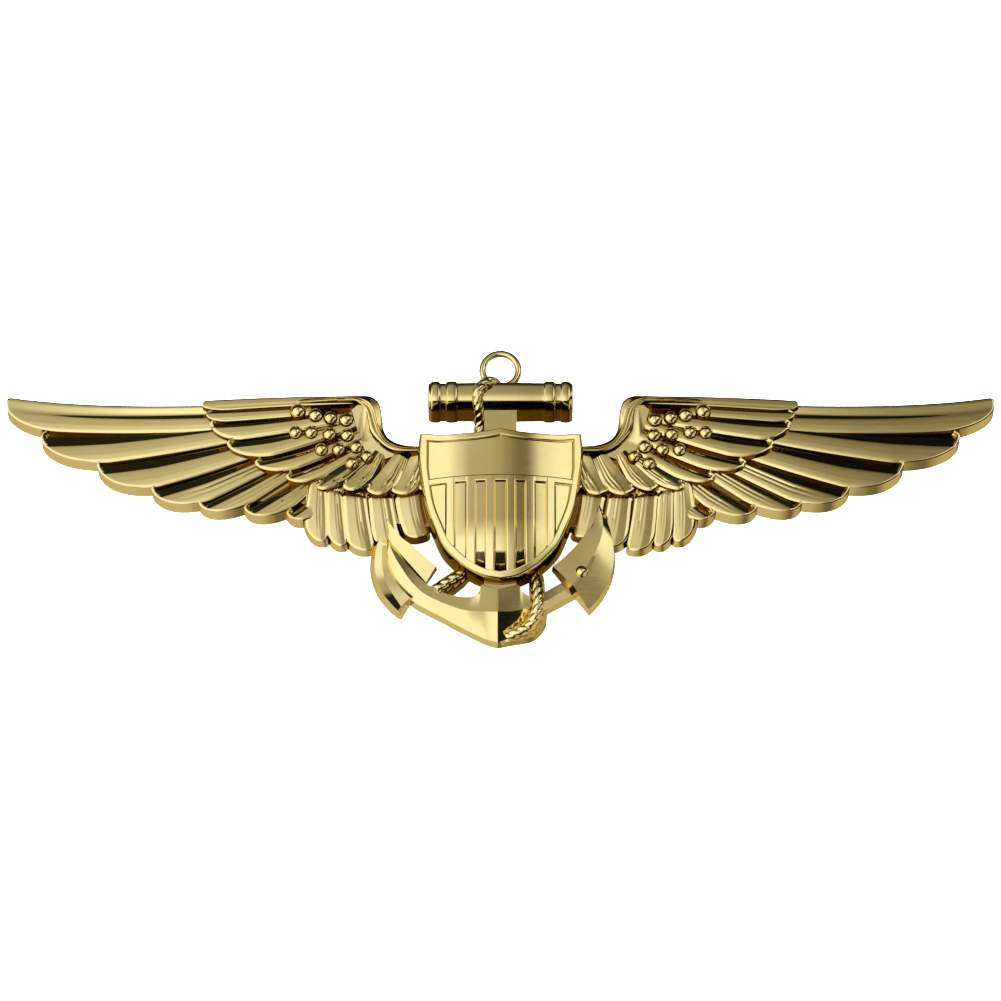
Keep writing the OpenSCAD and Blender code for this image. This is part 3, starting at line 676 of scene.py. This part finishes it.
def build_shield():
    """The border, the sunk panels, the cross bar and the raised pales."""
    outer = shield_outline()
    inward = left_of(unit(np.roll(outer, -1, 0) - np.roll(outer, 1, 0)))
    inner = outer + inward * BORDER
    side_x = SHIELD_SIDE[CORNER][0] - BORDER
    inner[:, 0] = np.clip(inner[:, 0], -side_x, side_x)
    inner[:, 1] = np.minimum(inner[:, 1], edge_y(outer, inner[:, 0], True) - BORDER)
    middle = outer + inward * BORDER * 0.5
    solids = [strip(outer, inner, dome, 0.8, closed=True)]
    panel_rows = []
    for x in (SHIELD_HALF - 0.28) * np.sin(np.linspace(-1, 1, 121) * math.pi / 2):
        ys = np.linspace(edge_y(middle, x, False), edge_y(middle, x, True), 60)
        panel_rows.append(np.column_stack([ys * 0 + x, ys, panel_h(x, ys)]))
    solids.append(sheet_solid(np.array(panel_rows), 1.0, 0.0))
    bar_x = np.linspace(-5.45, 5.45, 60)
    bar = [np.column_stack([bar_x, bar_x * 0 + y]) for y in (BAR_TOP, BAR_LOW)]
    solids.append(strip(*bar, bar_h, 1.5))
    for a, b in BARS:
        for side in (-1, 1):
            ys = np.linspace(BAR_TOP - 0.1, edge_y(inner, (a + b) / 2, False) - 0.25, 50)
            pale = [np.column_stack([ys * 0 + side * x, ys]) for x in (a, b)]
            solids.append(strip(*pale, bar_h, 1.5))
    front_piece("shield", solids)


# ---------------------------------------------------------------- anchor
def creased(lines, low=0.0, count=70, draft=0.1):
    """A bar whose top is flat facets between creases. Each line is a crease, through (x, y, h) points."""
    lines = [resample(through(line), count) for line in lines]
    fill = np.linspace(0, 1, 9)[:-1, None]
    strips = [mix(a[:, None], b[:, None], fill[None]) for a, b in zip(lines[:-1], lines[1:])]
    return sheet_solid(np.concatenate(strips + [lines[-1][:, None]], axis=1), low, draft)


VIEW_H = 2.0  # height at which v is measured from the same place as y


def seen(*points):
    """Points given in the photo's view, as (x, v, h), turned into (x, y, h). v is mm up the view."""
    over, along = round(math.cos(VIEW_ELEVATION), 3), round(math.sin(VIEW_ELEVATION), 3)
    return [(x, round((v - over * (h - VIEW_H) + over * x * x / (2 * BOW_R)) / along, 2), h)
            for x, v, h in points]


# Each line is a crease of the arms, from the shank outwards: the left arm, then the crown and the right arm
ARM_UPPER = seen((-0.2, -6.05, 2.1), (-1.3, -6.05, 2.05), (-1.45, -6.45, 2), (-1.9, -6.85, 1.9),
                 (-2.6, -6.9, 1.8), (-3.5, -6.75, 1.68), (-4.5, -6.4, 1.55), (-5.4, -5.8, 1.47),
                 (-6.2, -5, 1.42), (-7, -4, 1.4), (-7.8, -2.85, 1.4))
ARM_RIDGE = seen((-0.2, -7.9, 2.2), (-1.2, -7.9, 2.08), (-2.5, -7.8, 1.9), (-3.5, -7.5, 1.75),
                 (-4.5, -7.1, 1.63), (-5.5, -6.55, 1.55), (-6.3, -5.75, 1.5), (-7, -4.75, 1.5),
                 (-7.5, -3.9, 1.48), (-7.9, -2.9, 1.42))
ARM_LOWER = seen((-0.2, -10.05, 1), (-1, -9.85, 0.95), (-2, -9.4, 0.92), (-3, -8.9, 0.92), (-4, -8.35, 0.95),
                 (-5, -7.85, 0.97), (-6, -7.3, 0.97), (-6.8, -6.6, 0.97), (-7.5, -5.65, 1), (-8, -4.5, 1.05),
                 (-8.05, -3.2, 1.2))
CROWN_UPPER = seen((-0.2, -6.05, 2.1), (1.2, -6.05, 2), (1.5, -6.5, 1.95), (2.1, -6.85, 1.85),
                   (2.7, -6.75, 1.7), (3.3, -6.45, 1.6), (4.2, -5.95, 1.5), (5.3, -5.4, 1.5))
CROWN_RIDGE = seen((-0.2, -7.9, 2.2), (1, -7.85, 2.05), (2, -7.6, 1.9), (3.2, -7.15, 1.7), (4.2, -6.6, 1.6),
                   (5.5, -5.9, 1.55))
CROWN_LOWER = seen((-0.2, -10.05, 1), (1, -9.8, 0.9), (2, -9.2, 0.9), (2.7, -8.4, 0.9), (3.3, -7.75, 0.95),
                   (4.2, -7.25, 0.95), (5.7, -6.4, 0.95))
SHANK = [(-1.15, 6.8), (-1.15, -6.6), (-0.2, -6.9), (1.1, -6.6), (1.15, 6.8)]
ROPE_BED = [(2.0, -5.0), (2.0, -6.8), (2.1, -8), (0, -9.8), (0, -10.4), (1, -10.3), (2.3, -10.0),
            (3.05, -9.2), (3.25, -8.2), (3.15, -6.8), (2.9, -5.3)]
STRUT = [(-1.9, -5.2), (-2.6, -4.6), (-3.6, -5.3), (-4.9, -6.2), (-4.6, -7.1), (-3.7, -6.9), (-2.6, -6.0)]
FACET_CREASE = 14.0  # degrees over which an edge of the anchor's arms and palms stays sharp


def anchor_shank():
    solids = [creased([ARM_UPPER, ARM_RIDGE, ARM_LOWER]), creased([CROWN_UPPER, CROWN_RIDGE, CROWN_LOWER]),
              slab(SHANK, 2.12, 0.0), slab(through(ROPE_BED + ROPE_BED[:1], 6)[:-1], 1.0, 0.0),
              slab(STRUT, 0.95, 0.0)]
    front_piece("anchor_shank", solids, FACET_CREASE)


# The left palm is seen on edge: a curved outer flange in three facets, and the blade inside the arm. Only the
# flange's outermost crease is chosen in the view. The others are (x, y, h) already.
FLANGE = [seen((-8.35, -2.1, 1), (-8.9, -3.3, 0.95), (-9.05, -4.9, 0.9), (-8.65, -6.3, 0.9),
               (-8, -7.3, 0.9), (-7.4, -7.9, 0.9), (-7, -8.15, 0.9)),
          [(-8.25, -2.01, 1.3), (-8.7, -3.5, 1.4), (-8.8, -5.1, 1.4), (-8.3, -6.73, 1.4), (-7.7, -7.6, 1.4),
           (-7.15, -8.2, 1.35)],
          [(-8.1, -2.15, 1.22), (-8.3, -3.72, 1.2), (-8.2, -5.3, 1.18), (-7.75, -6.5, 1.18),
           (-6.95, -7.78, 1.15)],
          [(-7.95, -2.32, 1.25), (-7.95, -4.3, 1.25), (-7.5, -5.7, 1.25), (-6.8, -6.7, 1.3),
           (-6.3, -7.2, 1.3)]]
BLADE = [seen((-7.95, -1.55, 1.95), (-7, -2.7, 1.9), (-6.2, -3.3, 1.85), (-5, -4.35, 1.8),
              (-4.5, -4.75, 1.8)),
         seen((-7.85, -2.3, 1.7), (-7.75, -3, 1.6), (-6.9, -4, 1.55), (-6, -5, 1.5), (-5.2, -5.9, 1.45))]
PALM = [seen((6.95, -0.5, 1.9), (7.5, -1.7, 1.95), (7.85, -3, 2), (7.9, -4.5, 2.05), (7.6, -5.7, 2.05),
             (7, -6.8, 2.05), (6.4, -7.5, 2.05), (6.1, -7.75, 2.05)),
        seen((6.9, -0.6, 1.95), (7.15, -1.5, 2.15), (7.1, -2.5, 2.25), (6.75, -3.5, 2.3), (6.2, -4.5, 2.3),
             (5.7, -5.3, 2.3), (5.1, -6.15, 2.3)),
        seen((6.8, -0.7, 1.9), (6.5, -1.7, 2), (6, -2.4, 2.1), (5.4, -3.2, 2.15), (4.5, -4.1, 2.2),
             (3.65, -4.75, 2.2))]


def left_palm():
    front_piece("left_palm", [creased(FLANGE), creased(BLADE, low=0.75)], FACET_CREASE)


def right_palm():
    front_piece("right_palm", [creased(PALM, low=1.0, draft=0.12)], FACET_CREASE)


def palm_rivet():
    front_piece("palm_rivet", [ball((5.65, -5.64, 2.2), 0.45)])


STOCK_Y, STOCK_WALL = 7.6, 1.9  # y of the barrel's middle, and height of the wall under it
# Half section as (y, h) from the front edge over the top to the back, for a radius of one
STOCK_PROFILE = [(-1, 0), (-0.985, 0.2), (-0.95, 0.32), (-0.53, 0.83), (-0.43, 0.89), (-0.3, 0.94),
                 (-0.1, 0.975), (0.1, 0.98), (0.4, 0.955), (0.7, 0.9), (0.93, 0.82), (0.99, 0.6), (1, 0)]
# Radius along its left half as (x, r): two collars, then the plain barrel
STOCK_LENGTHWISE = [(-5.12, 0.80), (-5.06, 0.90), (-4.96, 0.95), (-4.90, 1.0), (-4.75, 1.035), (-4.45, 1.035),
                    (-4.30, 1.0), (-4.26, 0.94), (-4.05, 0.93), (-3.86, 0.94), (-3.82, 1.0), (-3.65, 1.04),
                    (-3.25, 1.04), (-3.08, 1.0), (-3.04, 0.95), (-2.6, 0.95), (-1.2, 0.97)]


def anchor_stock():
    half = np.array(STOCK_LENGTHWISE)
    line = resample(through(np.vstack([half, half[::-1] * [-1, 1]]), 4), 300)
    profile = resample(through(STOCK_PROFILE, 5), 44)
    y, h = profile.T
    rows = [np.column_stack([y * 0 + x, STOCK_Y + r * y, STOCK_WALL + r * h]) for x, r in line]
    front_piece("anchor_stock", [sheet_solid(np.array(rows), 0.0, 0.0)])


RING_R, RING_WIRE_R, RING_H = 1.27, 0.25, 1.5
RING_LIFT = 0.15  # how much farther from the stock it sits than the CAD ring


def anchor_ring():
    a = np.linspace(0, 2 * math.pi, 120, endpoint=False)
    middle = RING_Y + RING_LIFT
    route = np.column_stack([RING_R * np.cos(a), middle + RING_R * np.sin(a), a * 0 + RING_H])
    front_piece("anchor_ring", [tube(route, RING_WIRE_R, 28, closed=True)])


ROPE_R, ROPE_LAY = 0.4, 1.9  # radius, and the length in which a strand goes once round
# Over the stock and down beside the shank, round the crown, and behind the shield to the left arm
ROPES = [
    [(-0.3, 8.65, 2.1), (-0.75, 8.55, 2.8), (-1.3, 8.15, 3.1), (-1.58, 7.6, 3.2), (-1.6, 6.9, 2.95),
     (-1.53, 6.35, 2.4), (-1.48, 5.8, 1.8), (-1.48, 5.2, 1.6), (-1.48, 4.4, 1.5)],
    [(2.2, -5.2, 1.5), (2.4, -5.9, 1.9), (2.6, -6.9, 2.2), (2.65, -8, 2.3), (2.4, -9, 2.1), (1.9, -9.6, 1.8),
     (1.2, -9.9, 1.6), (0.5, -10.1, 1.3)],
    [(-2.2, -4.9, 1.4), (-2.8, -5.6, 1.6), (-3.6, -6.1, 1.6), (-4.5, -6.7, 1.5)],
]


def anchor_rope():
    """Three laid strands: the section has three lobes that turn once in every ROPE_LAY of length."""
    def lobe(angle, far):
        turn = (angle + far * 2 * math.pi / ROPE_LAY) * 3 / 2
        return 0.78 + 0.22 * np.abs(np.cos(turn)) ** 0.6
    solids = [tube(resample(through(r), 12 * len(r)), ROPE_R, 48, lobe=lobe) for r in ROPES]
    front_piece("anchor_rope", solids, crease=60.0)


# ---------------------------------------------------------------- CAD pieces that stay
def dress_fittings():
    """Give the fittings on the badge's back their metals."""
    for name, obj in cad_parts.items():
        if name in FRONT:
            continue
        steel = name in ("pin_stem", "hinge_rivet")
        for slot in obj.material_slots:
            slot.material = STEEL if steel else GOLD_BACK


# ---------------------------------------------------------------- studio
VIEW_DISTANCE = 0.4
VIEW_WIDTH = 70.2 * MM  # what the picture's width shows at the badge
AIM_Y, AIM_H = -0.19, 2.0  # where it looks, in mm from the drawing's middle and from the badge's back


def camera():
    back = Vector((0.0, -math.cos(VIEW_ELEVATION), math.sin(VIEW_ELEVATION))).normalized()
    right = (Vector((1, 0, 0)) - back * back.x).normalized()
    up = back.cross(right)
    target = Vector((0, SHIFT_Y + AIM_Y, BACK_Z + AIM_H)) * MM
    data = bpy.data.cameras.new("camera")
    data.sensor_width = 36.0
    data.lens = data.sensor_width * VIEW_DISTANCE / VIEW_WIDTH
    data.clip_start, data.clip_end = 0.01, 20.0
    cam = bpy.data.objects.new("camera", data)
    turned = Matrix((right, up, back)).transposed().to_4x4()
    cam.matrix_world = Matrix.Translation(target + back * VIEW_DISTANCE) @ turned
    bpy.context.scene.collection.objects.link(cam)
    bpy.context.scene.camera = cam


def floor():
    """Pale paper under the badge. The gold doesn't mirror it, only the tent."""
    m = bpy.data.materials.new("paper")
    m.use_nodes = True
    t = m.node_tree
    shader = t.nodes["Principled BSDF"]
    shader.inputs["Roughness"].default_value = 0.9
    shader.inputs["Emission Color"].default_value = (1.0, 1.0, 1.0, 1.0)
    shader.inputs["Emission Strength"].default_value = 0.75
    grain = node(t, "ShaderNodeTexNoise", (-600, 0))
    grain.inputs["Scale"].default_value = 300.0
    tone = node(t, "ShaderNodeValToRGB", (-350, 0))
    tone.color_ramp.elements[0].color = (0.93, 0.93, 0.92, 1)
    tone.color_ramp.elements[1].color = (0.97, 0.97, 0.965, 1)
    t.links.new(grain.outputs["Fac"], tone.inputs["Fac"])
    t.links.new(tone.outputs["Color"], shader.inputs["Base Color"])
    # clear from underneath, so that the badge's back can be looked at through it
    side = node(t, "ShaderNodeNewGeometry", (300, 300))
    clear = node(t, "ShaderNodeBsdfTransparent", (300, -100))
    choice = node(t, "ShaderNodeMixShader", (550, 0))
    t.links.new(side.outputs["Backfacing"], choice.inputs["Fac"])
    t.links.new(shader.outputs["BSDF"], choice.inputs[1])
    t.links.new(clear.outputs["BSDF"], choice.inputs[2])
    t.links.new(choice.outputs["Shader"], t.nodes["Material Output"].inputs["Surface"])
    mesh = bpy.data.meshes.new("floor")
    half = 3.0
    corners = [(-half, -half, 0), (half, -half, 0), (half, half, 0), (-half, half, 0)]
    mesh.from_pydata(corners, [], [(0, 1, 2, 3)])
    obj = bpy.data.objects.new("floor", mesh)
    obj.data.materials.append(m)
    bpy.context.scene.collection.objects.link(obj)
    obj.visible_glossy = False


def area_light(name, at, size, power):
    """A square lamp that looks at the badge and isn't mirrored in it."""
    data = bpy.data.lights.new(name, "AREA")
    data.shape, data.size, data.energy = "SQUARE", size, power
    obj = bpy.data.objects.new(name, data)
    obj.location = at
    obj.rotation_mode = "QUATERNION"
    obj.rotation_quaternion = (-Vector(at)).to_track_quat("-Z", "Y")
    obj.visible_glossy = False
    bpy.context.scene.collection.objects.link(obj)


# Light from round the badge, by degrees from straight up: negative is towards the wearer's feet
TENT = [(-180, 0.62), (-122, 0.62), (-112, 0.5), (-104, 0.02), (-58, 0.02), (-50, 1.0), (-25, 1.1), (-4, 1.0),
        (8, 0.75), (18, 0.52), (30, 0.44), (45, 0.36), (50, 0.015), (92, 0.02), (104, 0.4), (150, 0.55),
        (180, 0.62)]
# How that light falls off across the badge, by the share of its direction that is +X
SIDES = [(-0.5, 1.0), (-0.13, 0.95), (0.0, 0.84), (0.05, 0.68), (0.13, 0.5), (0.19, 0.3), (0.26, 0.28),
         (0.37, 0.82), (0.5, 0.9)]
# Its colour by brightness: the dim parts are warmer
TONES = [(0, (0, 0, 0)), (0.25, (0.25, 0.22, 0.155)), (0.5, (0.5, 0.465, 0.38)), (0.8, (0.8, 0.79, 0.74)),
         (1, (1.08, 1.08, 1.04))]


def sky():
    """A light tent: brightest above the near side and on the left, with dark gaps low in front and behind."""
    world = bpy.data.worlds.new("tent")
    bpy.context.scene.world = world
    world.use_nodes = True
    t = world.node_tree
    background = t.nodes["Background"]
    background.location = (1000, 0)
    t.nodes["World Output"].location = (1200, 0)
    where = node(t, "ShaderNodeTexCoord", (-1200, 0))
    axes = node(t, "ShaderNodeSeparateXYZ", (-1000, 0))
    t.links.new(where.outputs["Generated"], axes.inputs["Vector"])
    x, y, z = axes.outputs["X"], axes.outputs["Y"], axes.outputs["Z"]
    tilt = joined(t, "ARCTAN2", y, z, (-800, 100))
    # the sides only count below this tilt, so that slopes which face the wearer's head stay dark
    near = ranged(t, tilt, math.radians(48), math.radians(36), 0, 1, (-800, -300))
    turn = ranged(t, tilt, -math.pi, math.pi, 0, 1, (-600, 100))
    # the bands lean over on the right, and a glow fills the left
    lean = joined(t, "MULTIPLY", ranged(t, x, 0.12, 1, 0, -0.27, (-600, -100)), near, (-500, -100))
    bands = [((a + 180) / 360, (v, v, v)) for a, v in TENT]
    tent = ramped(t, joined(t, "ADD", turn, lean, (-450, 0)), bands, (-300, 100))
    left = ranged(t, x, -0.1, -0.5, 0, 1.05, (-600, -300))
    above = ranged(t, z, -0.1, 0.15, 0, 1, (-600, -500))
    glow = joined(t, "MULTIPLY", joined(t, "MULTIPLY", left, above, (-400, -300)), near, (-300, -300))
    both = joined(t, "MAXIMUM", tent, glow, (0, 0))
    falloff = [(share + 0.5, (v, v, v)) for share, v in SIDES]
    side = ramped(t, ranged(t, x, -0.5, 0.5, 0, 1, (0, -300)), falloff, (200, -300))
    tone = ramped(t, joined(t, "MULTIPLY", both, side, (500, 0)), TONES, (700, 0))
    t.links.new(tone, background.inputs["Color"])


def studio():
    camera()
    floor()
    sky()
    area_light("overhead fill", at=(0, -0.2, 1.2), size=2.4, power=110.0)
    bpy.context.scene.view_settings.view_transform = "Standard"


studio()
build_wings()
build_shield()
anchor_shank()
left_palm()
right_palm()
palm_rivet()
anchor_stock()
anchor_ring()
anchor_rope()
dress_fittings()
